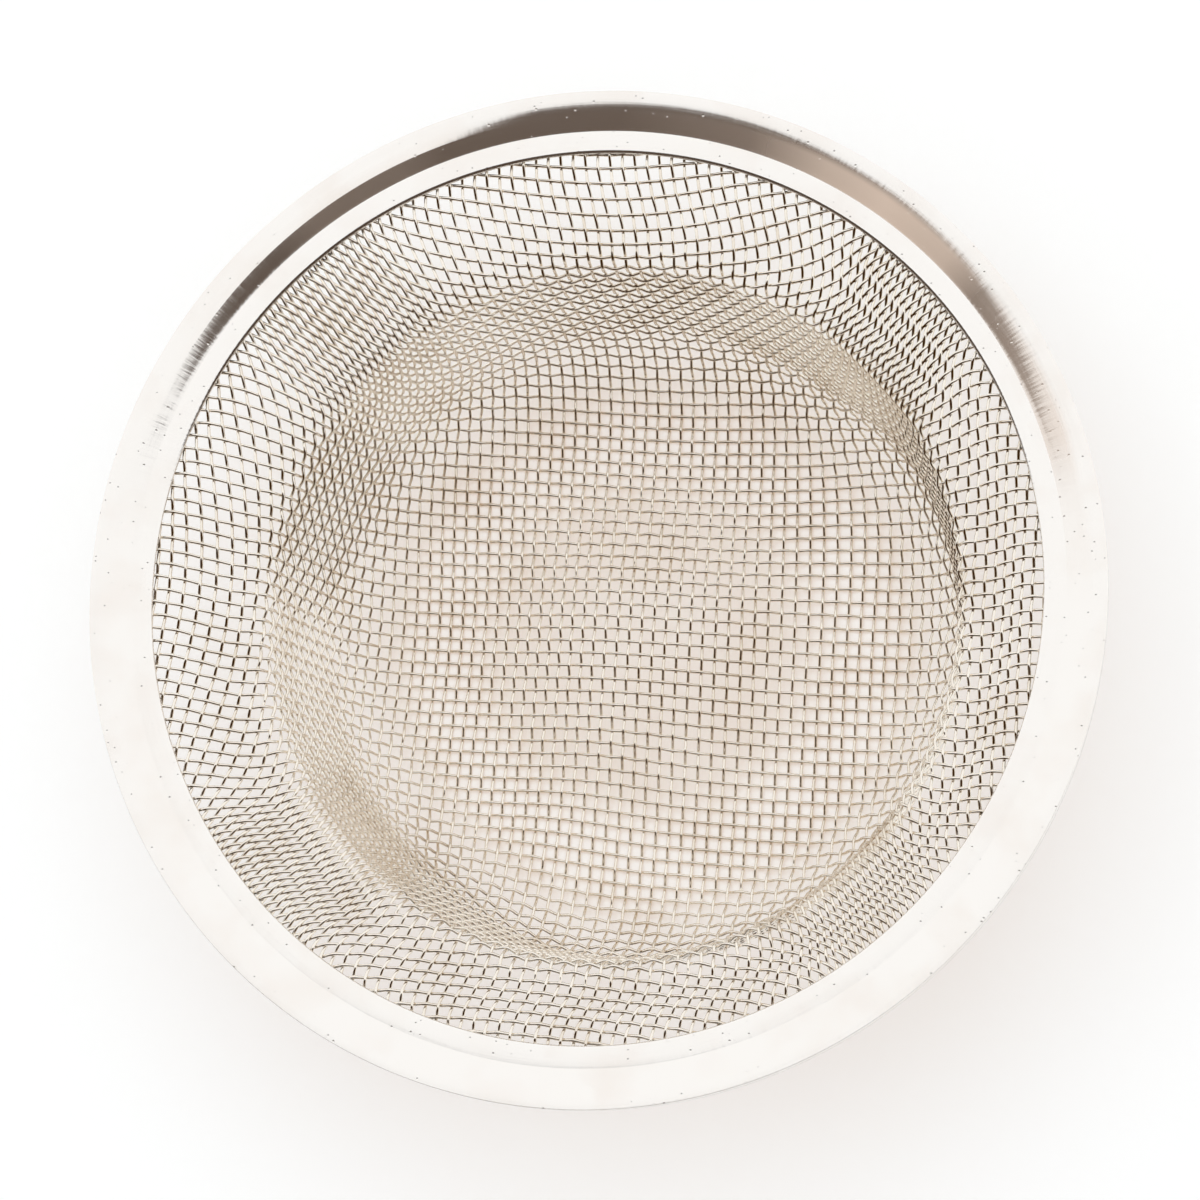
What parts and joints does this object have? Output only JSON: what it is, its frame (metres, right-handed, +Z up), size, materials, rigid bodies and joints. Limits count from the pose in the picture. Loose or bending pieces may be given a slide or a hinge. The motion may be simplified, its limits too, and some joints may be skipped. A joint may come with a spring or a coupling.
{
  "type": "sink strainer",
  "caption": "Round sink strainer: a basket pressed from woven wire cloth, with a sloping flange, a steep well and a domed floor, its edge held in a folded metal rim.",
  "frame": {"origin": "middle of the base, on the surface that the strainer stands on", "axes": "+Z up out of the basket's mouth, +X along the weft wires, +Y along the warp wires"},
  "size_m": [0.114, 0.114, 0.0304],
  "materials": {
    "rim_sheet": "polished stainless sheet",
    "mesh_wire": "bright drawn stainless wire"
  },
  "bodies": {
    "root": {"rim_band": "rim_sheet", "warp_wires_01": "mesh_wire", "warp_wires_02": "mesh_wire", "warp_wires_03": "mesh_wire", "warp_wires_04": "mesh_wire", "warp_wires_05": "mesh_wire", "warp_wires_06": "mesh_wire", "warp_wires_07": "mesh_wire", "warp_wires_08": "mesh_wire", "warp_wires_09": "mesh_wire", "warp_wires_10": "mesh_wire", "warp_wires_11": "mesh_wire", "warp_wires_12": "mesh_wire", "warp_wires_13": "mesh_wire", "warp_wires_14": "mesh_wire", "warp_wires_15": "mesh_wire", "warp_wires_16": "mesh_wire", "warp_wires_17": "mesh_wire", "warp_wires_18": "mesh_wire", "warp_wires_19": "mesh_wire", "warp_wires_20": "mesh_wire", "warp_wires_21": "mesh_wire", "weft_wires_01": "mesh_wire", "weft_wires_02": "mesh_wire", "weft_wires_03": "mesh_wire", "weft_wires_04": "mesh_wire", "weft_wires_05": "mesh_wire", "weft_wires_06": "mesh_wire", "weft_wires_07": "mesh_wire", "weft_wires_08": "mesh_wire", "weft_wires_09": "mesh_wire", "weft_wires_10": "mesh_wire", "weft_wires_11": "mesh_wire", "weft_wires_12": "mesh_wire", "weft_wires_13": "mesh_wire", "weft_wires_14": "mesh_wire", "weft_wires_15": "mesh_wire", "weft_wires_16": "mesh_wire", "weft_wires_17": "mesh_wire", "weft_wires_18": "mesh_wire", "weft_wires_19": "mesh_wire", "weft_wires_20": "mesh_wire", "weft_wires_21": "mesh_wire"}
  },
  "joints": []
}
